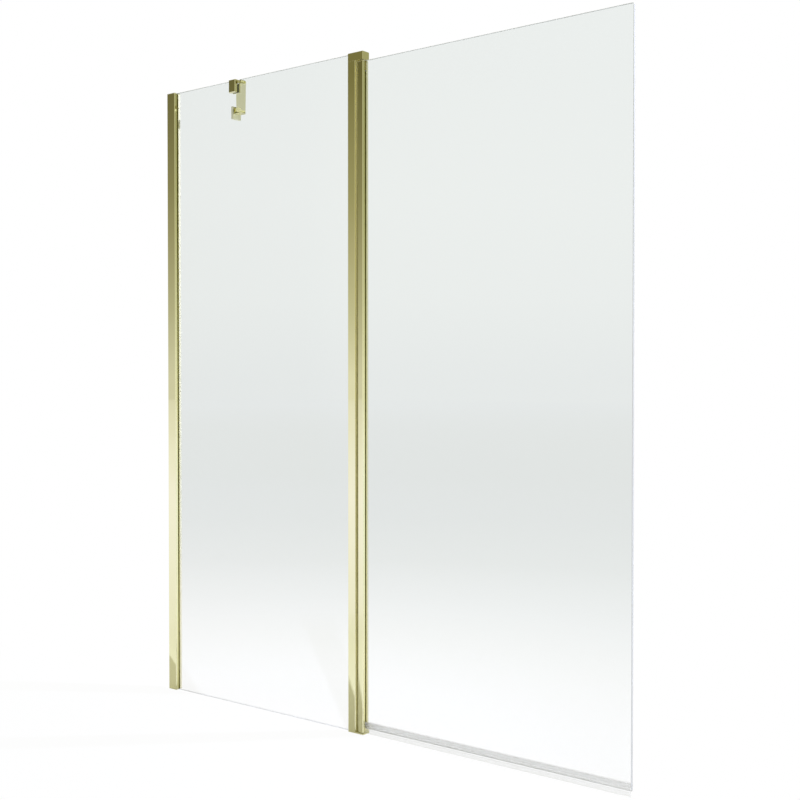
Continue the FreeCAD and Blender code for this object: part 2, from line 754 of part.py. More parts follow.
def main():
    """Builds every piece and writes each to its own file."""
    pieces = {
        "wall_channel": wall_channel(),
        "channel_top_cap": channel_top_cap(),
        "glazing_carrier": glazing_carrier(),
        "edge_packers": edge_packers(),
        "adjuster_screws": adjuster_screws(),
        "adjuster_screw_covers": adjuster_screw_covers(),
        "wall_gasket_front": wall_gasket(-1),
        "wall_gasket_rear": wall_gasket(1),
        "fixed_glass": fixed_glass(),
        "hinge_post": hinge_post(),
        "post_gasket_front": post_gasket(-1),
        "post_gasket_rear": post_gasket(1),
        "hinge_seal": hinge_seal(),
        "post_top_cap": post_top_cap(),
        "top_cap_screws": top_cap_screws(),
        "post_bottom_plate": post_bottom_plate(),
        "top_pivot_pin": top_pivot_pin(),
        "bottom_pivot_pin": bottom_pivot_pin(),
        "top_thrust_washer": top_thrust_washer(),
        "bottom_thrust_washer": bottom_thrust_washer(),
        "clamp_body": clamp_body(),
        "clamp_pad_front": clamp_pad(-1),
        "clamp_pad_rear": clamp_pad(1),
        "clamp_grub_screw": clamp_grub_screw(),
        "support_arm": support_arm(),
        "arm_pin": arm_pin(),
        "wall_bracket": wall_bracket(),
        "bracket_cover": bracket_cover(),
        "bracket_pin": bracket_pin(),
        "door_stile": door_stile(),
        "stile_top_plug": stile_top_plug(),
        "stile_bottom_plug": stile_bottom_plug(),
        "stile_packers": stile_packers(),
        "stile_gasket_front": stile_gasket(-1),
        "stile_gasket_rear": stile_gasket(1),
        "moving_glass": moving_glass(),
        "bottom_seal": bottom_seal(),
    }
    os.makedirs("parts", exist_ok=True)
    for name, shape in pieces.items():
        shape.exportStep(f"parts/{name}.step")
        print(name, len(shape.Solids), shape.isValid(), round(shape.Volume, 1))


main()
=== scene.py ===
"""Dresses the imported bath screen: polished gold profiles, clear panes, seals and the brace to the wall."""

import json
import logging
import math
from dataclasses import dataclass
from enum import Enum, IntEnum
from typing import Any, Optional, Sequence, Union

import bmesh
import bpy
import numpy as np
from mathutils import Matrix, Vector
from mathutils.geometry import tessellate_polygon


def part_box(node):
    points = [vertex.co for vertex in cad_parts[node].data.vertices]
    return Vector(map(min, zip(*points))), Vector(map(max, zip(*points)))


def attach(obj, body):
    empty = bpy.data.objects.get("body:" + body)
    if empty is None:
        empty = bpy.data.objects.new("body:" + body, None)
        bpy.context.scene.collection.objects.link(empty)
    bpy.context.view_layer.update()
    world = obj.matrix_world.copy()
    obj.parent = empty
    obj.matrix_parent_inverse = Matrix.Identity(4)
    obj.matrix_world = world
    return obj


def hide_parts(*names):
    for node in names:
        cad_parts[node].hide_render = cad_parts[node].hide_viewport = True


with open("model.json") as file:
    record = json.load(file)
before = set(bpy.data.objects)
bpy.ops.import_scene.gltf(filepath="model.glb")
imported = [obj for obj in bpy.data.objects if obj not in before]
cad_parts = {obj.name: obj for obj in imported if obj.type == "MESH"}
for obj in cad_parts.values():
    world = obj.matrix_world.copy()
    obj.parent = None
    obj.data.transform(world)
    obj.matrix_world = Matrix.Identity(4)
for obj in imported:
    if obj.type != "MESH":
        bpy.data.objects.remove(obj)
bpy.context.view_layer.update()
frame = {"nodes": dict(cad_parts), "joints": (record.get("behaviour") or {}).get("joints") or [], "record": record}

LOG = logging.getLogger("bath_screen")
MM = 0.001
WELD_MM = 0.001
SHARP_DEG = 35.0
COPY_WELD_MM = 0.002
COPY_FLAT_DEG = 0.5
COPY_SHARP_DEG = 30.0
BROKEN_EDGE_DEG = 40.0
BROKEN_EDGE_STEPS = 2
LARGE_FACE_WEIGHT = 100
LIP_FACING = 0.4
LIP_REACH_MM = 1.0
NO_BOUNCE = 0.5
FIRST_COLOUR, SECOND_COLOUR = 6, 7
CURVES = {False: "LINEAR", True: "SMOOTHSTEP"}

Material = bpy.types.Material
Node = bpy.types.Node
Piece = bpy.types.Object
Socket = bpy.types.NodeSocket
Tree = bpy.types.NodeTree
Pair = tuple[float, float]
Triple = tuple[float, float, float]
Tones = tuple[tuple[float, float, str], ...]


class Axis(Enum):
    """The direction a section is carried along."""

    X = 0
    Y = 1
    Z = 2


class Body(Enum):
    """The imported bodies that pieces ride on."""

    FRAME = "frame"
    DOOR = "door"
    ARM = "arm"
    BRACKET = "bracket"


class GoldFace(IntEnum):
    """Finishes of a gold profile's faces, in the order of their slot."""

    POLISHED = 0
    SATIN = 1
    LACQUERED = 2


class GlassFace(IntEnum):
    """Finishes of a pane's faces, in the order of their slot."""

    CLEAR = 0
    GROUND = 1
    TAPED = 2
    POLISHED = 3


class SealFace(IntEnum):
    """Finishes of the bottom seal's faces, in the order of their slot."""

    SOFT = 0
    HARD = 1
    THIN = 2


def linear(hex_colour: str) -> tuple[float, float, float, float]:
    """Turns an sRGB hex colour into linear light.

    Args:
        hex_colour: six hex digits after a hash sign.

    Returns:
        Linear red, green, blue and an alpha of 1.
    """
    srgb = np.array([int(hex_colour[i:i + 2], 16) for i in (1, 3, 5)]) / 255.0
    light = np.where(srgb <= 0.04045, srgb / 12.92, ((srgb + 0.055) / 1.055) ** 2.4)
    return (float(light[0]), float(light[1]), float(light[2]), 1.0)


def add_node(tree: Tree, kind: str, sockets: Optional[dict[Any, Any]] = None, **settings: Any) -> Node:
    """Adds a shader node with its settings, socket values and links.

    Args:
        tree: the node tree that takes it.
        kind: the node's type name after its ShaderNode prefix.
        sockets: what its sockets take, by name or number: a value, or another node's output socket.
        **settings: the node's own properties.

    Returns:
        The new node.
    """
    made = tree.nodes.new("ShaderNode" + kind)
    for key, value in settings.items():
        setattr(made, key, value)
    for key, value in (sockets or {}).items():
        if isinstance(value, Socket):
            tree.links.new(value, made.inputs[key])
        else:
            made.inputs[key].default_value = value
    return made


def new_material(name: str) -> tuple[Material, Tree]:
    """Starts an empty node material.

    Args:
        name: the material's name.

    Returns:
        The material and its tree.
    """
    material = bpy.data.materials.new(name)
    material.use_nodes = True
    material.node_tree.nodes.clear()
    return material, material.node_tree


def surfaced(material: Material, shader: Socket) -> Material:
    """Ends a material with the shader of its surface and hands it back."""
    add_node(material.node_tree, "OutputMaterial", {"Surface": shader})
    return material


def blend(tree: Tree, share: Socket, first: Union[str, Socket], second: Union[str, Socket]) -> Socket:
    """Colour between two, each a hex colour or a socket, by a share."""
    low, high = (linear(tone) if isinstance(tone, str) else tone for tone in (first, second))
    sockets = {"Factor": share, FIRST_COLOUR: low, SECOND_COLOUR: high}
    return add_node(tree, "Mix", sockets, data_type="RGBA").outputs["Result"]


def layered(tree: Tree, share: Socket, under: Socket, over: Socket) -> Socket:
    """Shader between two others by a share."""
    return add_node(tree, "MixShader", {0: share, 1: under, 2: over}).outputs["Shader"]


def maths(tree: Tree, operation: str, first: Socket, second: Union[float, Socket]) -> Socket:
    """Result of an operation on a socket and a second socket or number."""
    return add_node(tree, "Math", {0: first, 1: second}, operation=operation).outputs["Value"]


def scaled(tree: Tree, value: Socket, start: float, end: float, first: float = 0.0, last: float = 1.0,
           smooth: bool = False) -> Socket:
    """Number that goes from the first to the last while a value goes from a start to an end."""
    span = {"Value": value, "From Min": start, "From Max": end, "To Min": first, "To Max": last}
    return add_node(tree, "MapRange", span, interpolation_type=CURVES[smooth]).outputs["Result"]


def ramp(tree: Tree, value: Socket, tones: Tones, curve: str = "LINEAR") -> Socket:
    """Colour that follows a value through a few stops.

    Args:
        tree: the node tree that takes it.
        value: the socket that is followed.
        tones: the value at each stop, its lightness as linear light, and its tint.
        curve: how colours run from stop to stop.

    Returns:
        The colour socket.
    """
    low, high = tones[0][0], tones[-1][0]
    made = add_node(tree, "ValToRGB", {"Fac": scaled(tree, value, low, high)})
    made.color_ramp.interpolation = curve
    stops = made.color_ramp.elements
    while len(stops) < len(tones):
        stops.new(0.5)
    for stop, (at, lightness, tint) in zip(stops, tones):
        stop.position = (at - low) / (high - low)
        stop.color = [lightness * part for part in linear(tint)[:3]] + [1.0]
    return made.outputs["Color"]


def noise(tree: Tree, place: Socket, spacing_mm: float, detail: float) -> Socket:
    """Soft uneven pattern with a spacing in millimetres."""
    pattern = {"Vector": place, "Scale": 1.0 / (spacing_mm * MM), "Detail": detail}
    return add_node(tree, "TexNoise", pattern).outputs["Fac"]


def relief(tree: Tree, pattern: Socket, height_mm: float, strength: float) -> Socket:
    """Normal of a surface that a pattern raises by a height in millimetres."""
    rise = {"Height": pattern, "Distance": height_mm * MM, "Strength": strength}
    return add_node(tree, "Bump", rise).outputs["Normal"]


@dataclass(frozen=True)
class Grained:
    """Plastic, rubber, steel, tape, lacquer, cloth or a glass edge: two tones, and a fine grain in relief."""

    name: str
    colour: str
    shade: str
    roughness: float
    metallic: float = 0.0
    spacing_mm: float = 0.8
    stretch: Triple = (1.0, 1.0, 1.0)
    height_mm: float = 0.03
    strength: float = 0.6
    detail: float = 3.0
    smear: float = 0.0
    haze_spacing_mm: Optional[float] = None
    haze_detail: float = 4.0
    cover: Optional[Pair] = None

    def build(self) -> Material:
        """Makes the material. Tone and gloss follow the haze where there is one, and else the grain.

        Returns:
            A surface whose grain is drawn into lines where it is stretched, and see-through by its cover.
        """
        material, tree = new_material(self.name)
        place = add_node(tree, "TexCoord").outputs["Object"]
        drawn = add_node(tree, "Mapping", {"Vector": place, "Scale": self.stretch}).outputs["Vector"]
        grain = noise(tree, drawn, self.spacing_mm, self.detail)
        haze = noise(tree, place, self.haze_spacing_mm, self.haze_detail) if self.haze_spacing_mm else grain
        surface = add_node(tree, "BsdfPrincipled", {
            "Metallic": self.metallic,
            "Roughness": scaled(tree, haze, 0.0, 1.0, self.roughness, self.roughness + self.smear),
            "Base Color": blend(tree, haze, self.colour, self.shade),
            "Normal": relief(tree, grain, self.height_mm, self.strength)}).outputs["BSDF"]
        if self.cover:
            clear = add_node(tree, "BsdfTransparent").outputs["BSDF"]
            surface = layered(tree, scaled(tree, grain, 0.0, 1.0, *self.cover), clear, surface)
        return surfaced(material, surface)


@dataclass(frozen=True)
class PolishedGold(Grained):
    """Gold coat on metal or rubber, polished or satin, with soft lines along its drawing direction."""

    colour: str = "#F7F3C8"
    shade: str = "#F2EDBE"
    roughness: float = 0.015
    metallic: float = 1.0
    spacing_mm: float = 2.5
    stretch: Triple = (1.0, 1.0, 0.004)
    height_mm: float = 0.0012
    strength: float = 1.0
    smear: float = 0.02
    haze_spacing_mm: float = 60.0


@dataclass(frozen=True)
class ClearVinyl(Grained):
    """Extruded clear PVC: mostly see-through, a little cloudy, with fine lines along the strip."""

    colour: str = "#E2E2E0"
    shade: str = "#D4D4D2"
    roughness: float = 0.14
    spacing_mm: float = 1.2
    stretch: Triple = (0.004, 1.0, 1.0)
    height_mm: float = 0.005
    strength: float = 0.5
    detail: float = 2.0


@dataclass(frozen=True)
class ClearGlass:
    """Toughened float glass: smooth and a little grey green, lightened to clear at its foot by painted light."""

    name: str = "toughened_float_glass"
    ior: float = 1.5
    # The glass's own grey green tint, faded to white towards the foot as painted light.
    tint_and_painted_foot_light: Tones = (
        (0.0, 1.0, "#FFFFFF"), (0.07, 1.0, "#FEFFFF"), (0.49, 1.0, "#F5F9F8"), (1.4, 1.0, "#F6FAF9"))
    shadow: str = "#F2F5F4"

    def build(self) -> Material:
        """Makes the material.

        Returns:
            Clear glass whose faint tint fades with height to clear at its foot as painted light, and which lets
            the lamp through.
        """
        material, tree = new_material(self.name)
        place = add_node(tree, "TexCoord").outputs["Object"]
        height = add_node(tree, "SeparateXYZ", {"Vector": place}).outputs["Z"]
        glass = add_node(tree, "BsdfPrincipled", {
            "Roughness": 0.0, "IOR": self.ior, "Transmission Weight": 1.0,
            "Base Color": ramp(tree, height, self.tint_and_painted_foot_light, "EASE")})
        clear = add_node(tree, "BsdfTransparent", {"Color": linear(self.shadow)})
        shaded = add_node(tree, "LightPath").outputs["Is Shadow Ray"]
        return surfaced(material, layered(tree, shaded, glass.outputs["BSDF"], clear.outputs["BSDF"]))


class Finishes:
    """Every finish of the screen, made once."""

    def __init__(self) -> None:
        """Builds the materials by the record's slot names: the main one first, then those of marked faces."""
        satin = ("#FFFDEA", "#FBF8E0", 0.6)
        self.hinge_vinyl = Grained("bronze_hinge_vinyl", "#CBC68E", "#BFB981", 0.55).build()
        self.satin_brass = PolishedGold("satin_gold_brass", *satin, stretch=(1.0, 1.0, 0.6)).build()
        table = {
            "polished gold profile": (
                PolishedGold("polished_gold_aluminium"),
                PolishedGold("satin_gold_aluminium", *satin),
                Grained("pale_gold_lacquer", "#E0DCBF", "#DDD9BB", 0.5, height_mm=0.002)),
            "polished gold fitting": (
                PolishedGold("polished_gold_brass", stretch=(1.0, 1.0, 0.6), height_mm=0.0006),),
            "clear glass": (
                ClearGlass(),
                Grained("ground_glass_edge", "#FBFCFB", "#F5F6F5", 0.3, height_mm=0.01),
                Grained("bronze_edge_tape", "#877E3C", "#7B7235", 0.6),
                Grained("polished_glass_edge", "#CCCFCE", "#C5C8C7", 0.2, height_mm=0.01)),
            "clear seal": (
                ClearVinyl("soft_clear_vinyl", cover=(0.16, 0.22)),
                ClearVinyl("hard_clear_vinyl", cover=(0.33, 0.41)),
                ClearVinyl("thin_clear_vinyl", cover=(0.02, 0.05))),
            "bronze gasket": (PolishedGold("gold_faced_rubber", "#EAE190", "#E2D985", 0.12),),
            "black pad": (Grained("black_pad_rubber", "#141413", "#1E1E1C", 0.6),),
            "pale plastic": (Grained("moulded_acetal", "#D6D5CE", "#C9C8C0", 0.45),),
            "plain steel": (Grained("turned_stainless_steel", "#B9B9B6", "#A9A9A6", 0.3, metallic=1.0),),
        }
        self.by_slot: dict[str, tuple[Material, ...]] = {
            slot: tuple(finish.build() for finish in row) for slot, row in table.items()}

    def dress(self, piece: Piece, slot: str, finish: Optional[Material] = None) -> None:
        """Gives a piece the finish of one slot.

        Args:
            piece: the object to dress.
            slot: the record's slot name.
            finish: a shade of that slot, where the piece has its own.
        """
        if piece.data.materials:
            piece.data.materials.clear()
        marks = np.zeros(len(piece.data.polygons), np.int32)
        piece.data.polygons.foreach_get("material_index", marks)
        for material in (finish,) if finish else self.by_slot[slot][:marks.max() + 1]:
            piece.data.materials.append(material)


def unit(rows: np.ndarray) -> np.ndarray:
    """Rows brought to a length of one."""
    return rows / np.linalg.norm(rows, axis=1, keepdims=True)


def rounded_outline(corners: Sequence[Triple], steps: int = 6) -> np.ndarray:
    """Closed outline whose corners are arcs.

    Each corner at P with radius r has its arc centre on the bisector at r / sin(half angle) from P, and the
    arc turns from one tangent point to the other through 180 degrees less the corner's angle.

    Args:
        corners: place and radius of each corner, in order.
        steps: segments of each arc.

    Returns:
        Points of the outline, one row each.
    """
    table = np.asarray(corners, float)
    place, radius = table[:, :2], table[:, 2:]
    before = unit(np.roll(place, 1, axis=0) - place)
    after = unit(np.roll(place, -1, axis=0) - place)
    angle = np.arccos(np.clip((before * after).sum(axis=1, keepdims=True), -1.0, 1.0))
    centre = place + unit(before + after) * radius / np.sin(angle / 2)
    start = place + before * radius / np.tan(angle / 2) - centre
    sense = np.sign(before[:, :1] * after[:, 1:] - before[:, 1:] * after[:, :1])
    turned = np.stack([-start[:, 1], start[:, 0]], axis=1) * -sense
    turn = np.linspace(0.0, 1.0, steps + 1)[None, :, None] * (math.pi - angle)[:, None, :]
    points = centre[:, None, :] + start[:, None, :] * np.cos(turn) + turned[:, None, :] * np.sin(turn)
    return points.reshape(-1, 2)


def box_outline(x: Pair, y: Pair, corner: float) -> np.ndarray:
    """Closed outline of a box between two places each way, its corners round."""
    return rounded_outline([(x[i], y[j], corner) for i, j in ((0, 0), (1, 0), (1, 1), (0, 1))])


def mirrored(half: Sequence[Triple]) -> list[Triple]:
    """Corners of a half section's other half beyond Y = 0, in the order that closes it."""
    return [(x, -y, radius) for x, y, radius in reversed(half)]


def circle(x: float, y: float, radius: float, steps: int = 40) -> np.ndarray:
    """Closed round outline about a place."""
    turn = np.linspace(0.0, 2 * math.pi, steps, endpoint=False)
    return np.stack([x + radius * np.cos(turn), y + radius * np.sin(turn)], axis=1)


def carried(points: np.ndarray, place: float, axis: Axis) -> np.ndarray:
    """Lifts plan points into space at one place along an axis; the two plan directions keep their order."""
    return np.insert(points, axis.value, place, axis=1)


def ring_faces(count: int, rings: int, start: int = 0) -> np.ndarray:
    """Quads between neighbouring closed rings of the same number of points.

    Args:
        count: points of each ring.
        rings: how many rings follow each other.
        start: number of the first ring's first point.

    Returns:
        Quads as point numbers of the mesh.
    """
    low = start + np.arange(count * (rings - 1)).reshape(-1, count)
    step = np.roll(low, -1, axis=1)
    return np.stack([low, step, step + count, low + count], axis=2).reshape(-1, 4)


def cap_faces(loops: Sequence[np.ndarray], starts: Sequence[int]) -> np.ndarray:
    """Triangles that close a section, with the loops after the first as holes in it.

    Args:
        loops: plan outlines, the outer one first.
        starts: number of each outline's first point in the mesh.

    Returns:
        Triangles as point numbers of the mesh.
    """
    flat = [[Vector((x, y, 0.0)) for x, y in loop] for loop in loops]
    numbers = np.concatenate([start + np.arange(len(loop)) for loop, start in zip(loops, starts)])
    return numbers[np.array(tessellate_polygon(flat))]


def linked(name: str, data: bpy.types.ID) -> Piece:
    """Makes an object of a mesh, lamp or camera and links it to the scene.

    Args:
        name: the object's name.
        data: what it shows.

    Returns:
        The object.
    """
    made = bpy.data.objects.new(name, data)
    bpy.context.scene.collection.objects.link(made)
    return made


def finish_mesh(name: str, points: np.ndarray, faces: Sequence[Sequence[int]]) -> Piece:
    """Makes an object from points in metres, its normals outwards and its shading smooth up to an angle.

    Args:
        name: the object's name.
        points: one row per point, in metres.
        faces: point numbers of each face.

    Returns:
        The linked object.
    """
    mesh = bpy.data.meshes.new(name)
    mesh.from_pydata(points.tolist(), [], faces)
    work = bmesh.new()
    work.from_mesh(mesh)
    bmesh.ops.remove_doubles(work, verts=work.verts, dist=WELD_MM * MM)
    bmesh.ops.dissolve_degenerate(work, edges=work.edges, dist=WELD_MM * MM)
    bmesh.ops.recalc_face_normals(work, faces=work.faces)
    work.to_mesh(mesh)
    work.free()
    mesh.shade_smooth()
    mesh.set_sharp_from_angle(angle=math.radians(SHARP_DEG))
    return linked(name, mesh)


def extrusion(name: str, loops: Sequence[np.ndarray], span: Pair, axis: Axis = Axis.Z) -> Piece:
    """Solid bar: a section in millimetres, with holes, carried straight along an axis.

    Args:
        name: the object's name.
        loops: the section's outlines, the outer one first.
        span: lowest and highest place along the axis, in millimetres.
        axis: the direction it is carried along.

    Returns:
        The object.
    """
    counts = np.array([len(loop) for loop in loops])
    starts = 2 * (np.cumsum(counts) - counts)
    points = [carried(loop, place, axis) for loop in loops for place in span]
    faces = np.concatenate([ring_faces(count, 2, start) for count, start in zip(counts, starts)]).tolist()
    for first in (starts, starts + counts):
        faces += cap_faces(loops, first).tolist()
    return finish_mesh(name, np.concatenate(points) * MM, faces)


def drilled(piece: Piece, cutters: Sequence[Piece]) -> Piece:
    """Cuts pieces out of another and throws the cutters away.

    Args:
        piece: what is cut.
        cutters: closed meshes to take away.

    Returns:
        The same object with its new mesh.
    """
    for cutter in cutters:
        cut = piece.modifiers.new("cut", "BOOLEAN")
        cut.operation = "DIFFERENCE"
        cut.solver = "EXACT"
        cut.object = cutter
    bpy.context.view_layer.update()
    done = bpy.data.meshes.new_from_object(piece.evaluated_get(bpy.context.evaluated_depsgraph_get()))
    piece.modifiers.clear()
    piece.data = done
    for cutter in cutters:
        bpy.data.objects.remove(cutter)
    return piece


def face_table(piece: Piece) -> tuple[np.ndarray, np.ndarray]:
    """Looks up where a piece's faces are and which way they face.

    Args:
        piece: the object.

    Returns:
        The faces' normals, and their middles in millimetres, one row each.
    """
    piece.data.update()
    normals, middles = np.zeros((2, len(piece.data.polygons) * 3))
    piece.data.polygons.foreach_get("normal", normals)
    piece.data.polygons.foreach_get("center", middles)
    return normals.reshape(-1, 3), middles.reshape(-1, 3) / MM


def mark(piece: Piece, marks: np.ndarray) -> Piece:
    """Gives a piece's faces the numbers of the finishes that they take from its slot, and hands it back."""
    piece.data.polygons.foreach_set("material_index", marks.astype(np.int32))
    return piece


def rear_lip_marked(piece: Piece, nose: float, finish: GoldFace) -> Piece:
    """Marks the end of a bar's rear lip, where X is about that of the nose, for one of its finishes."""
    (facing, _, _), (x, y, _) = (rows.T for rows in face_table(piece))
    return mark(piece, finish * ((facing > LIP_FACING) & (y > 0) & (x > nose - LIP_REACH_MM)))


def spans(node: str) -> np.ndarray:
    """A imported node's lowest and highest corners in millimetres, one row each."""
    low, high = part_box(node)
    return np.array([low, high]) / MM


def settle(piece: Piece, body: Body, *nodes: str) -> Piece:
    """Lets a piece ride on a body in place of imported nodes.

    Normals are weighted by face area, so that a flat face mirrors flat where it runs into a small round.

    Args:
        piece: the new object.
        body: what it moves with.
        *nodes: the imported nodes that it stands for.

    Returns:
        The same object.
    """
    even = piece.modifiers.new("even_normals", "WEIGHTED_NORMAL")
    even.keep_sharp = True
    even.weight = LARGE_FACE_WEIGHT
    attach(piece, body.value)
    if nodes:
        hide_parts(*nodes)
    LOG.info("%s rides on %s for %s", piece.name, body.value, ", ".join(nodes) or "no node")
    return piece


def polished_copy(node: str, body: Body, edge_mm: float) -> Piece:
    """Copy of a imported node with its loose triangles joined, smooth curves and softly broken edges.

    Args:
        node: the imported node.
        body: what it moves with.
        edge_mm: width of the broken edges.

    Returns:
        The new object, which stands for the node.
    """
    mesh = frame["nodes"][node].data.copy()
    mesh.name = node + "_polished"
    work = bmesh.new()
    work.from_mesh(mesh)
    bmesh.ops.remove_doubles(work, verts=work.verts, dist=COPY_WELD_MM * MM)
    flat = math.radians(COPY_FLAT_DEG)
    bmesh.ops.dissolve_limit(work, angle_limit=flat, verts=work.verts, edges=work.edges)
    work.to_mesh(mesh)
    work.free()
    mesh.shade_smooth()
    mesh.set_sharp_from_angle(angle=math.radians(COPY_SHARP_DEG))
    piece = linked(mesh.name, mesh)
    soft = piece.modifiers.new("broken_edges", "BEVEL")
    soft.width = edge_mm * MM
    soft.segments = BROKEN_EDGE_STEPS
    soft.limit_method = "ANGLE"
    soft.angle_limit = math.radians(BROKEN_EDGE_DEG)
    return settle(piece, body, node)


@dataclass(frozen=True)
class GoldSection:
    """Sizes that the channel, the post and the stile share, in millimetres."""

    corner: float = 1.5
    lip_edge: float = 0.5
    inner: float = 0.3
    slot_half: float = 4.4
    wall: float = 1.6
    joint_edge: float = 0.1

    def pockets(self, left: float, right: float, face: float) -> list[np.ndarray]:
        """Outlines of the two hollows that lie beside the glazing slot, a wall inside the faces."""
        low, high = self.slot_half + self.wall, face - self.wall
        return [box_outline((left, right), (side * low, side * high), self.inner) for side in (1, -1)]


@dataclass
class Assembly:
    """Pieces of the screen that are built and dressed together."""

    finishes: Finishes
    shared: GoldSection = GoldSection()

    def fittings(self, body: Body, *nodes: str, edge_mm: float = 0.25,
                 finish: Optional[Material] = None) -> None:
        """Builds and dresses polished copies of gold fittings, in their own finish where one is given."""
        for node in nodes:
            self.finishes.dress(polished_copy(node, body, edge_mm), "polished gold fitting", finish)


@dataclass
class WallSide(Assembly):
    """Wall channel with its cap and the covers of its screws."""

    back_corner: float = 0.8
    web: float = 2.5
    wall: float = 1.8
    lip: float = 2.2
    hole_radius: float = 2.75
    hole_margin: float = 100.0
    hole_count: int = 4
    height: float = 1400.0

    def channel(self) -> Piece:
        """Channel section open to the glass, carried up the wall and drilled for its screws.

        Returns:
            The channel.
        """
        (x0, _, z0), (x1, y1, z1) = spans("wall_channel")
        s = self.shared
        inside, mouth = y1 - self.wall, x1 - self.lip
        half = [(x0 + self.web, inside, s.inner), (mouth, inside, s.inner), (mouth, s.slot_half, s.inner),
                (x1, s.slot_half, s.lip_edge), (x1, y1, s.corner), (x0, y1, self.back_corner)]
        bar = extrusion("wall_channel_profile", [rounded_outline(half + mirrored(half))], (z0, z1))
        pitch = (self.height - 2 * self.hole_margin) / (self.hole_count - 1)
        drills = [
            extrusion(f"drill_{i}", [circle(0.0, self.hole_margin + pitch * i, self.hole_radius)],
                      (x0 - self.web, x0 + 2 * self.web), Axis.X)
            for i in range(self.hole_count)]
        bar = rear_lip_marked(drilled(bar, drills), x1, GoldFace.LACQUERED)
        return settle(bar, Body.FRAME, "wall_channel")

    def build(self) -> None:
        """Builds and dresses the channel; the cap and the screw covers are polished copies."""
        self.finishes.dress(self.channel(), "polished gold profile")
        self.fittings(Body.FRAME, "channel_top_cap", "adjuster_screw_covers")


@dataclass
class HingePost(Assembly):
    """Post on the fixed pane's free edge, with its cap, foot plate and seal."""

    back_corner: float = 0.8
    slot_depth: float = 11.5
    rib: float = 1.6
    slit_half: float = 1.6
    port_radius: float = 1.5
    port_wall: float = 1.5
    seal_root_half: float = 2.6
    seal_clearance: float = 0.2
    seal_skin: float = 0.02

    def post(self) -> Piece:
        """Post section: glazing slot on one side, seal chamber on the other, pockets and screw ports inside.

        Returns:
            The post.
        """
        (x0, _, z0), (x1, y1, z1) = spans("hinge_post")
        s = self.shared
        deep = x0 + self.slot_depth
        left, right = deep + self.rib, x1 - s.wall
        port = y1 - s.wall - self.port_wall - self.port_radius
        chamber = port - self.port_radius - self.port_wall
        half = [(deep, s.slot_half, s.inner), (x0, s.slot_half, s.lip_edge), (x0, y1, self.back_corner),
                (x1, y1, s.corner), (x1, self.slit_half, s.inner), (right, self.slit_half, s.inner),
                (right, chamber, s.inner), (left, chamber, s.inner)]
        loops = [rounded_outline(half + mirrored(half))] + s.pockets(x0 + s.wall, deep, y1)
        loops += [circle((left + right) / 2, y, self.port_radius) for y in (-port, port)]
        return settle(extrusion("hinge_post_profile", loops, (z0, z1)), Body.FRAME, "hinge_post")

    def seal(self) -> Piece:
        """Soft strip with a flat root in the post's chamber and a bowed face towards the stile.

        Returns:
            The seal.
        """
        (x0, _, z0), (x1, y1, z1) = spans("hinge_seal")
        post_face = spans("hinge_post")[1][0]
        root, neck = self.seal_root_half, self.slit_half - self.seal_clearance
        low, high = post_face - self.shared.wall - self.seal_skin, post_face + self.seal_skin
        bow = (x1 - high) / 2
        half = [(x0, root, self.seal_clearance), (low, root, self.seal_clearance), (low, neck, 0.0),
                (high, neck, 0.0), (high, y1, 0.0), (x1, y1, bow)]
        strip = extrusion("hinge_seal_strip", [rounded_outline(half + mirrored(half))], (z0, z1))
        return settle(strip, Body.FRAME, "hinge_seal")

    def build(self) -> None:
        """Builds and dresses the post, its seal, its cap and its foot plate."""
        self.finishes.dress(self.post(), "polished gold profile")
        self.finishes.dress(self.seal(), "bronze gasket", self.finishes.hinge_vinyl)
        self.fittings(Body.FRAME, "post_top_cap", "post_bottom_plate", edge_mm=self.shared.joint_edge)


@dataclass
class Stile(Assembly):
    """Upright of the swinging panel, with its plugs."""

    back_corner: float = 1.2
    web: float = 2.7
    fall: float = 0.35

    def bar(self) -> Piece:
        """Stile section: a deep glazing slot between hollow cheeks, its front falling back to the hinge.

        Returns:
            The stile.
        """
        (x0, y0, z0), (x1, y1, z1) = spans("door_stile")
        s = self.shared
        deep = x0 + self.web
        half = [(deep, s.slot_half, s.inner), (x1, s.slot_half, s.lip_edge), (x1, y1, s.corner),
                (x0, y1, self.back_corner)]
        front = mirrored(half)
        front[0] = (x0, y0 + self.fall, self.back_corner)
        loops = [rounded_outline(half + front)] + s.pockets(deep, x1 - s.wall, y1)
        bar = extrusion("door_stile_profile", loops, (z0, z1))
        return settle(rear_lip_marked(bar, x1, GoldFace.SATIN), Body.DOOR, "door_stile")

    def build(self) -> None:
        """Builds and dresses the stile and its plugs."""
        self.finishes.dress(self.bar(), "polished gold profile")
        self.fittings(Body.DOOR, "stile_top_plug", "stile_bottom_plug", edge_mm=self.shared.joint_edge)


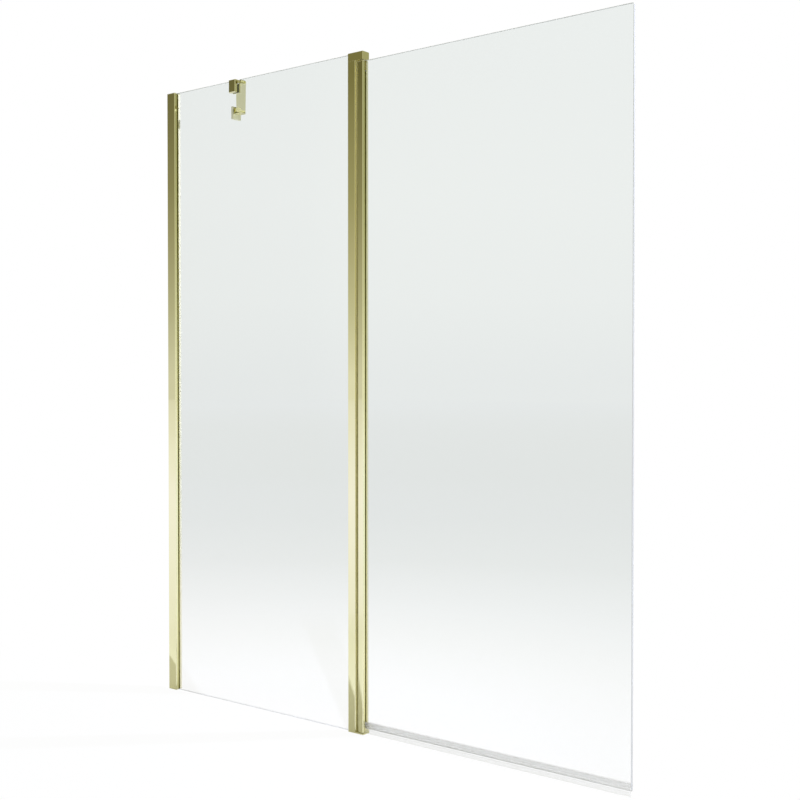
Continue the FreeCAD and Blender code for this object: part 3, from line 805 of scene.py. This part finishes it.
@dataclass
class Panes(Assembly):
    """The fixed and the swinging pane, with rounded arrises."""

    arris: float = 0.8
    arris_points: int = 4
    square: float = 1.2
    notch_radius: float = 3.0
    free_corner: float = 4.0
    clamp_clearance: float = 0.4
    notch_side: float = 6.0
    bridge_height: float = 8.0
    plug_clearance: float = 0.4
    flat_facing: float = 0.99
    foot_facing: float = 0.3
    side_facing: float = 0.1

    def plate(self, name: str, corners: Sequence[Triple], hollow: Sequence[int], half: float,
              free_edge: bool) -> Piece:
        """Plate in X and Z whose edge is a quarter round on each face.

        The outline is drawn at several insets: a corner moves along its bisector by the inset, its radius
        shrinks by it, or grows where the corner is hollow, and the plate is skinned from one face round the
        edge to the other.

        Args:
            name: the object's name.
            corners: X, Z and radius of each corner, in order.
            hollow: numbers of the corners that turn inwards.
            half: half the plate's thickness.
            free_edge: True where the high X edge is bare and the foot is in a clear seal; other upright edges
                are taped.

        Returns:
            The plate.
        """
        turn = np.linspace(0.0, math.pi / 2, self.arris_points)
        inset = self.arris * (1 - np.sin(turn))
        depth = half - self.arris * (1 - np.cos(turn))
        inset = np.concatenate([inset, inset[::-1]])
        depth = np.concatenate([-depth, depth[::-1]])
        table = np.asarray(corners, float)
        place = table[:, :2]
        before = unit(place - np.roll(place, 1, axis=0))
        after = unit(np.roll(place, -1, axis=0) - place)
        inward = np.stack([-before[:, 1] - after[:, 1], before[:, 0] + after[:, 0]], axis=1)
        grow = np.where(np.isin(np.arange(len(table)), hollow), 1.0, -1.0)
        rings = []
        for step, y in zip(inset, depth):
            moved = np.column_stack([place + inward * step, table[:, 2] + grow * step])
            rings.append(carried(rounded_outline(moved), y, Axis.Y))
        count = len(rings[0])
        faces = ring_faces(count, len(rings)).tolist()
        flat = rings[0][:, [0, 2]]
        for start in (0, count * (len(rings) - 1)):
            faces += cap_faces([flat], [start]).tolist()
        pane = finish_mesh(name, np.concatenate(rings) * MM, faces)
        across, through, up = face_table(pane)[0].T
        clear = (np.abs(through) > self.flat_facing) | (free_edge & (up < -self.foot_facing))
        high_edge = GlassFace.POLISHED if free_edge else GlassFace.TAPED
        return mark(pane, np.select([clear, across < -self.side_facing, across > self.side_facing],
                                    [GlassFace.CLEAR, GlassFace.TAPED, high_edge], GlassFace.GROUND))

    def fixed(self) -> Piece:
        """Fixed pane with the notch for the clamp's bridge.

        Returns:
            The pane.
        """
        (x0, _, z0), (x1, y1, z1) = spans("fixed_glass")
        clamp = spans("clamp_body")
        left, right = clamp[0][0] - self.notch_side, clamp[1][0] + self.notch_side
        floor = z1 - self.bridge_height - self.clamp_clearance
        s, n = self.square, self.notch_radius
        corners = [(x0, z0, s), (x1, z0, s), (x1, z1, s), (right, z1, s), (right, floor, n), (left, floor, n),
                   (left, z1, s), (x0, z1, s)]
        return settle(self.plate("fixed_pane", corners, (4, 5), y1, False), Body.FRAME, "fixed_glass")

    def moving(self) -> Piece:
        """Swinging pane, its free top corner rounded and its hinge corners cut back for the plugs.

        Returns:
            The pane.
        """
        (x0, _, z0), (x1, y1, z1) = spans("moving_glass")
        inner = spans("door_stile")[1][0] + self.plug_clearance
        low = spans("stile_bottom_plug")[1][2] + self.plug_clearance
        high = spans("stile_top_plug")[0][2] - self.plug_clearance
        s = self.square
        corners = [(inner, z0, s), (x1, z0, s), (x1, z1, self.free_corner), (inner, z1, s), (inner, high, s),
                   (x0, high, s), (x0, low, s), (inner, low, s)]
        return settle(self.plate("moving_pane", corners, (4, 7), y1, True), Body.DOOR, "moving_glass")

    def build(self) -> None:
        """Builds and dresses both panes."""
        self.finishes.dress(self.fixed(), "clear glass")
        self.finishes.dress(self.moving(), "clear glass")


@dataclass
class Strips(Assembly):
    """Glazing strips, clamp pads and the seal under the swinging pane."""

    rib_count: int = 3
    rib_depth: float = 0.25
    rib_start: float = 0.35
    nose: float = 0.5
    nose_points: int = 9
    pad_corner: float = 1.5
    seal_wall: float = 1.2
    seal_band: float = 8.2
    band_slope: float = 0.4
    seal_lip: float = 2.2
    lip_cut: float = 0.5
    mouth_cut: Pair = (0.35, 0.3)
    brim_cut: Pair = (0.3, 0.5)
    seal_web: float = 1.2
    web_back: float = 1.4
    skirt_wall: float = 1.0
    skirt_taper: Pair = (0.2, 0.05)
    toe_rise: float = 0.5
    toe_flat: Pair = (0.25, 0.75)
    fin_points: int = 9
    fin_rise: float = 2.6
    fin_drop: float = 5.8
    fin_power: float = 1.5
    fin_wall: float = 0.75
    fin_thinning: float = 0.4
    plate_reach: float = 13.1
    plate_top: float = 3.5
    trim_margin: float = 5.0
    trim_half: float = 20.0
    trim_corner: float = 0.1
    clip_facing: float = 0.9
    clip_depth: float = 0.6
    level_facing: float = 0.6

    def gasket(self, node: str, body: Body, mouth_first: bool) -> Piece:
        """Strip with a rounded nose in the profile's mouth and saw-tooth ribs on its hidden part.

        The ribbed side is a triangle wave across the strip's width.

        Args:
            node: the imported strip.
            body: what it moves with.
            mouth_first: True where the mouth is on the low X side.

        Returns:
            The strip.
        """
        (x0, y0, z0), (x1, y1, z1) = spans(node)
        glass, lip = (y1, y0) if y1 <= 0 else (y0, y1)
        mouth, root = (x0, x1) if mouth_first else (x1, x0)
        away = np.linspace(self.rib_start, 1.0, 2 * self.rib_count + 1)
        wave = np.where(np.arange(len(away)) % 2 == 0, 0.0, self.rib_depth)
        ribs = np.stack([mouth + (root - mouth) * away, lip + np.sign(glass - lip) * wave], axis=1)
        turn = np.linspace(0.0, math.pi, self.nose_points)
        middle, reach = (glass + lip) / 2, (lip - glass) / 2
        nose = np.stack([mouth + np.sign(root - mouth) * self.nose * (1 - np.sin(turn)),
                         middle - reach * np.cos(turn)], axis=1)
        outline = np.concatenate([nose, ribs, [[root, glass]]])
        return settle(extrusion(node + "_strip", [outline], (z0, z1)), body, node)

    def pad(self, node: str) -> Piece:
        """Clamp pad with rounded corners.

        Args:
            node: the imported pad.

        Returns:
            The pad.
        """
        (x0, y0, z0), (x1, y1, z1) = spans(node)
        outline = box_outline((x0, x1), (z0, z1), self.pad_corner)
        return settle(extrusion(node + "_rubber", [outline], (y0, y1), Axis.Y), Body.FRAME, node)

    def bottom_seal(self) -> Piece:
        """Clear strip: two legs that grip the pane, a web under it, a front skirt and a curved drip fin.

        The fin falls from the rear leg to its tip by a power of the way out, and thins towards the tip. The
        strip's end is cut away where it would meet the post's foot plate.

        Returns:
            The seal.
        """
        (x0, y0, z0), (x1, y1, z1) = spans("bottom_seal")
        (_, front, foot), (_, rear, _) = spans("moving_glass")
        web, leg, skirt = foot - self.seal_web, rear + self.seal_wall, front - self.skirt_wall
        toe, band = z0 + self.toe_rise, z1 - self.seal_band
        share = np.linspace(0.0, 1.0, self.fin_points)
        fall = foot + self.fin_rise - self.fin_drop * share ** self.fin_power
        upper = np.stack([leg + (y1 - leg) * share, fall], axis=1)
        under = (upper - self.fin_wall * (1 - self.fin_thinning * share)[:, None])[::-1]
        mouth_y, mouth_z = self.mouth_cut
        brim_y, brim_z = self.brim_cut
        taper_web, taper_toe = self.skirt_taper
        outline = np.concatenate([
            [(front, z1 - mouth_z), (front, foot), (rear, foot), (rear, z1 - mouth_z), (rear + mouth_y, z1),
             (leg - brim_y, z1), (leg, z1 - brim_z)],
            upper, under[:-1],
            [(leg - self.web_back, web), (front - taper_web, web), (front - taper_toe, toe),
             (skirt + self.toe_flat[1], z0), (skirt + self.toe_flat[0], z0), (skirt, toe), (skirt, band),
             (y0, band + self.band_slope), (y0, z1 - self.seal_lip), (y0 + self.lip_cut, z1),
             (front - mouth_y, z1)]])
        bar = extrusion("bottom_seal_strip", [outline], (x0, x1), Axis.X)
        pivot = frame["joints"][0]["pos_m"][0] / MM
        reach = (x0 - self.trim_margin, pivot + self.plate_reach)
        box = box_outline(reach, (-self.trim_half, self.trim_half), self.trim_corner)
        strip = drilled(bar, [extrusion("seal_trim", [box], (-self.trim_margin, self.plate_top))])
        normals, middles = face_table(strip)
        front_face = (normals[:, 1] < -self.clip_facing) & (middles[:, 1] < y0 + self.clip_depth)
        clip = front_face & (middles[:, 2] > band)
        level = np.abs(normals[:, 2]) > self.level_facing
        marks = np.select([clip, level], [SealFace.HARD, SealFace.THIN], SealFace.SOFT)
        return settle(mark(strip, marks), Body.DOOR, "bottom_seal")

    def build(self) -> None:
        """Builds and dresses every strip."""
        for node, body, first in (("wall_gasket", Body.FRAME, False), ("post_gasket", Body.FRAME, True),
                                  ("stile_gasket", Body.DOOR, False)):
            for side in ("front", "rear"):
                self.finishes.dress(self.gasket(f"{node}_{side}", body, first), "bronze gasket")
        for node in ("clamp_pad_front", "clamp_pad_rear"):
            self.finishes.dress(self.pad(node), "black pad")
        self.finishes.dress(self.bottom_seal(), "clear seal")


@dataclass
class Brace(Assembly):
    """Clamp, arm and wall bracket, as polished copies of their solids."""

    def build(self) -> None:
        """Builds and dresses the brace, the bracket's cover in satin brass."""
        self.fittings(Body.FRAME, "clamp_body")
        self.fittings(Body.ARM, "support_arm", "arm_pin")
        self.fittings(Body.BRACKET, "wall_bracket")
        self.fittings(Body.BRACKET, "bracket_cover", finish=self.finishes.satin_brass)
        self.fittings(Body.BRACKET, "bracket_pin")


def dress_hidden(finishes: Finishes) -> None:
    """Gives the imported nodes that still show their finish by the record's slots.

    Args:
        finishes: the screen's finishes.
    """
    for row in frame["record"]["subparts"]:
        node = frame["nodes"][row["node"]]
        if not node.hide_render:
            finishes.dress(node, row["material_slot"])
            LOG.info("%s keeps its packed shape", node.name)


@dataclass
class Studio:
    """Floor, surroundings, lamp, flags and camera of the picture."""

    floor_half_m: float = 30.0
    floor_drop_mm: float = 0.5
    white: str = "#FFFFFF"
    paint: str = "#F4F4F4"
    camera_share: float = 0.04
    fill: float = 0.7
    fill_tint: str = "#FFFFF2"
    lamp_watts: float = 297.0
    lamp_tint: str = "#E2E2FF"
    lamp_radius_m: float = 0.012
    lamp_m: Triple = (1.6, 0.965, 2.2)
    flags_m: tuple[Pair, ...] = ((0.025, 0.106), (0.605, 0.622))
    flag_height_m: float = 1.4
    painted_m: Pair = (0.7, 1.1)
    painted_back_m: Pair = (-0.012, -0.006)
    floor_middle_m: Triple = (0.4, -0.1, 0.0)
    behind_m: Pair = (-0.1, 0.02)
    right_m: Pair = (-1.0, 0.0)
    post_m: float = 0.59
    # Painted shade: the floor as seen through glass, white near the screen and greyer further off.
    floor_through_glass_painted_shade: Tones = (
        (0.45, 1.0, "#FFFFFF"), (0.9, 0.96, "#FFFFFE"), (1.5, 0.899, "#FFFFFD"), (2.3, 0.843, "#FFFFFC"),
        (3.7, 0.818, "#FFFFFC"), (6.5, 0.81, "#FFFFFC"), (12.0, 0.823, "#FFFFFD"), (20.0, 0.84, "#FFFFFE"),
        (30.0, 0.857, "#FFFFFF"))
    # Painted reflection: tones the floor shows only in gold, before the screen straight ahead and turned to the
    # left.
    floor_mirrored: Tones = (
        (-29.0, 0.83, "#FEFEFF"), (-11.0, 0.96, "#F7F7FF"), (-6.2, 1.09, "#EFF0FF"), (-3.4, 1.18, "#EBEBFF"),
        (-1.4, 1.11, "#EFF0FF"), (-0.6, 1.0, "#F5F6FF"))
    floor_mirrored_turned: Tones = (
        (-29.0, 0.76, "#FEFEFF"), (-17.0, 0.82, "#FCFCFF"), (-9.5, 0.885, "#FAFAFF"), (-5.0, 1.05, "#F2F3FF"),
        (-3.4, 1.15, "#EDEDFF"), (-1.4, 1.11, "#EFF0FF"), (-0.6, 1.0, "#F5F6FF"))
    # Painted reflection tone that gold sees behind the screen far to the left.
    floor_mirrored_left: str = "#D2D2C8"
    # Painted reflection tones of the floor behind the screen, darkened near the screen's foot as painted contact
    # shadow.
    floor_mirrored_behind_painted_contact_shadow: Tones = (
        (0.0, 0.55, "#FFFFE4"), (0.1, 0.78, "#FFFFEE"), (0.37, 0.89, "#FFFFFD"), (0.7, 0.96, "#FCFEFF"),
        (1.2, 1.06, "#F8FBFF"), (1.9, 1.12, "#F4F8FF"), (5.0, 1.13, "#F4F8FF"), (9.4, 1.0, "#FFFFFF"),
        (25.0, 0.88, "#FFFFF8"))
    # Painted shade: the surroundings as seen through glass, greyest at the horizon.
    world_through_glass_painted_shade: Tones = (
        (0.0, 0.868, "#FFFFFF"), (0.067, 0.925, "#FFFFFF"), (0.15, 0.955, "#FFFFFF"), (0.3, 0.97, "#FFFFFF"))
    across: Triple = (0.65, 0.76, 0.0)
    left_turn: Pair = (0.862, 0.93)
    left_side: Pair = (-0.35, -0.85)
    right_side: Pair = (0.2, 0.8)
    front_left_tones: Tones = (
        (0.0, 0.80, "#FFFFFB"), (0.059, 0.575, "#FFFEE9"), (0.109, 0.455, "#FFFBDA"),
        (0.158, 0.347, "#FFFACA"), (0.206, 0.273, "#FFF9C2"), (0.252, 0.198, "#FFF7B1"))
    far_left_tones: Tones = (
        (0.0, 0.68, "#FFFFFB"), (0.059, 0.48, "#FFFEE9"), (0.109, 0.36, "#FFFBDA"),
        (0.158, 0.26, "#FFFACA"), (0.206, 0.195, "#FFF9C2"), (0.252, 0.135, "#FFF7B1"))
    near_tones: Tones = (
        (0.0, 0.92, "#FFFFF8"), (0.067, 0.76, "#FFFEEC"), (0.15, 0.66, "#FFFEE8"), (0.25, 0.58, "#FFFFE8"),
        (0.9, 0.42, "#FFFFE4"))
    back_right_tones: Tones = (
        (0.0, 0.86, "#FFFFF6"), (0.053, 0.69, "#FFFFEB"), (0.087, 0.585, "#FFFFE6"), (0.12, 0.5, "#FFFFDA"),
        (0.155, 0.427, "#FFFFD6"), (0.19, 0.385, "#FFFFD2"), (0.3, 0.38, "#FFFFD0"))
    lens_mm: float = 52.9
    sensor_mm: float = 36.0
    eye_m: Triple = (2.1378, -1.8566, 0.7315)
    yaw_deg: float = 38.034
    pitch_deg: float = 1.017

    def sheet(self, name: str, corners: Sequence[Triple]) -> Piece:
        """Flat stage card from its four corners in metres.

        Args:
            name: the card's name.
            corners: its corners in order.

        Returns:
            The card.
        """
        mesh = bpy.data.meshes.new(name)
        mesh.from_pydata(corners, [], [(0, 1, 2, 3)])
        card = linked(name, mesh)
        return card

    def through(self, tree: Tree, light: Node) -> Socket:
        """One for what the camera sees through glass and in no mirror, else nought."""
        unmirrored = maths(tree, "LESS_THAN", light.outputs["Glossy Depth"], NO_BOUNCE)
        return maths(tree, "MULTIPLY", light.outputs["Is Transmission Ray"], unmirrored)

    def turned(self, tree: Tree, x: Socket, y: Socket) -> Socket:
        """Nought for what lies straight before the post, rising to one for what lies further to the left."""
        return scaled(tree, maths(tree, "DIVIDE", x, y), *self.left_turn, smooth=True)

    def floor(self) -> None:
        """White floor with a trace of shadow. In gold it shows its paint near the screen, else painted reflection
        tones; through glass it is painted greyer away from the screen.
        """
        h, z = self.floor_half_m, -self.floor_drop_mm * MM
        card = self.sheet("studio_floor", [(-h, -h, z), (h, -h, z), (h, h, z), (-h, h, z)])
        material, tree = new_material("white_studio_floor")
        light = add_node(tree, "LightPath")
        place = add_node(tree, "TexCoord").outputs["Object"]
        x, y, _ = add_node(tree, "SeparateXYZ", {"Vector": place}).outputs
        distance = add_node(tree, "VectorMath", {0: place, 1: self.floor_middle_m}, operation="DISTANCE")
        away = distance.outputs["Value"]
        through = self.through(tree, light)
        direct = maths(tree, "MAXIMUM", light.outputs["Is Camera Ray"], through)
        # White for the camera; through glass, the floor's painted grey shade.
        seen_with_painted_shade = blend(tree, through, self.white, ramp(tree, away, self.floor_through_glass_painted_shade))
        # Behind the screen gold sees painted reflection tones, with painted contact shadow near the foot.
        back = blend(tree, scaled(tree, x, *self.right_m), self.floor_mirrored_left,
                     ramp(tree, y, self.floor_mirrored_behind_painted_contact_shadow))
        front = blend(tree, self.turned(tree, maths(tree, "SUBTRACT", x, self.post_m), y),
                      ramp(tree, y, self.floor_mirrored), ramp(tree, y, self.floor_mirrored_turned))
        in_gold = blend(tree, scaled(tree, y, *self.behind_m), front, back)
        near = maths(tree, "MULTIPLY", scaled(tree, away, *self.painted_m, 1.0, 0.0),
                     scaled(tree, y, *self.painted_back_m, 1.0, 0.0))
        share = maths(tree, "MULTIPLY", near, scaled(tree, direct, 0.0, 1.0, 1.0, self.camera_share))
        plain = add_node(tree, "Emission", {"Color": blend(tree, direct, in_gold, seen_with_painted_shade), "Strength": 1.0})
        paint = add_node(tree, "BsdfDiffuse", {"Color": linear(self.paint)}).outputs["BSDF"]
        mixed = layered(tree, share, plain.outputs["Emission"], paint)
        lit = layered(tree, light.outputs["Is Diffuse Ray"], mixed, paint)
        card.data.materials.append(surfaced(material, lit))

    def mirrored_world(self, tree: Tree) -> Socket:
        """Surroundings as gold mirrors them: dark at the front left, middling at the back right.

        Args:
            tree: the world's node tree.

        Returns:
            The colour socket.
        """
        place = add_node(tree, "TexCoord").outputs["Generated"]
        x, y, up = add_node(tree, "SeparateXYZ", {"Vector": place}).outputs
        product = add_node(tree, "VectorMath", {0: place, 1: self.across}, operation="DOT_PRODUCT")
        left, right = (scaled(tree, product.outputs["Value"], *side, smooth=True)
                       for side in (self.left_side, self.right_side))
        dark = blend(tree, self.turned(tree, x, y), ramp(tree, up, self.front_left_tones),
                     ramp(tree, up, self.far_left_tones))
        front = blend(tree, left, ramp(tree, up, self.near_tones), dark)
        return blend(tree, right, front, ramp(tree, up, self.back_right_tones))

    def world(self) -> None:
        """White surroundings. Mirrors see them by height and side, and through glass they are painted a little
        greyer, most at the horizon.
        """
        world = bpy.data.worlds.new("white_studio")
        bpy.context.scene.world = world
        world.use_nodes = True
        tree = world.node_tree
        tree.nodes.clear()
        light = add_node(tree, "LightPath")
        place = add_node(tree, "TexCoord").outputs["Generated"]
        up = add_node(tree, "SeparateXYZ", {"Vector": place}).outputs["Z"]
        # Through glass the surroundings take painted grey shade; elsewhere the mirrored tones.
        tone = blend(tree, self.through(tree, light), self.mirrored_world(tree),
                     ramp(tree, up, self.world_through_glass_painted_shade))
        lights = ((tone, 1.0), (linear(self.fill_tint), self.fill), (linear(self.white), 1.0))
        mirror, fill, white = (
            add_node(tree, "Background", {"Color": colour, "Strength": strength}).outputs["Background"]
            for colour, strength in lights)
        inner = layered(tree, light.outputs["Is Glossy Ray"], fill, mirror)
        last = layered(tree, light.outputs["Is Camera Ray"], inner, white)
        add_node(tree, "OutputWorld", {"Surface": last})

    def lamp(self) -> None:
        """Small key lamp behind on the right, which throws the uprights' shadows forward on the floor."""
        data = bpy.data.lights.new("key_lamp", "POINT")
        data.energy = self.lamp_watts
        data.color = linear(self.lamp_tint)[:3]
        data.shadow_soft_size = self.lamp_radius_m
        key = linked("key_lamp", data)
        key.location = self.lamp_m
        key.visible_glossy = False
        key.visible_transmission = False

    def flags(self) -> None:
        """Narrow black flags beside two uprights, which only hold back the lamp and widen their shadows."""
        cloth = Grained("black_flag_cloth", "#0A0A0A", "#121212", 0.9).build()
        top = self.flag_height_m
        for number, (low, high) in enumerate(self.flags_m):
            corners = [(low, 0, 0), (high, 0, 0), (high, 0, top), (low, 0, top)]
            flag = self.sheet(f"lamp_flag_{number}", corners)
            flag.data.materials.append(cloth)
            for ray in ("camera", "diffuse", "glossy", "transmission", "volume_scatter"):
                setattr(flag, f"visible_{ray}", False)

    def camera(self) -> None:
        """Camera at the photograph's place."""
        data = bpy.data.cameras.new("front_right_camera")
        data.lens = self.lens_mm
        data.sensor_width = self.sensor_mm
        camera = linked("front_right_camera", data)
        camera.location = self.eye_m
        camera.rotation_euler = (math.radians(90.0 - self.pitch_deg), 0.0, math.radians(self.yaw_deg))
        bpy.context.scene.camera = camera

    def build(self) -> None:
        """Builds the whole stage."""
        self.camera()
        self.floor()
        self.world()
        self.lamp()
        self.flags()
        bpy.context.scene.view_settings.view_transform = "Standard"


def main() -> None:
    """Builds the stage, then each sub-assembly, and dresses what is left."""
    logging.basicConfig(level=logging.INFO, format="%(message)s")
    Studio().build()
    finishes = Finishes()
    for assembly in (WallSide, HingePost, Stile, Panes, Strips, Brace):
        assembly(finishes).build()
    dress_hidden(finishes)


if __name__ == "__main__":
    main()
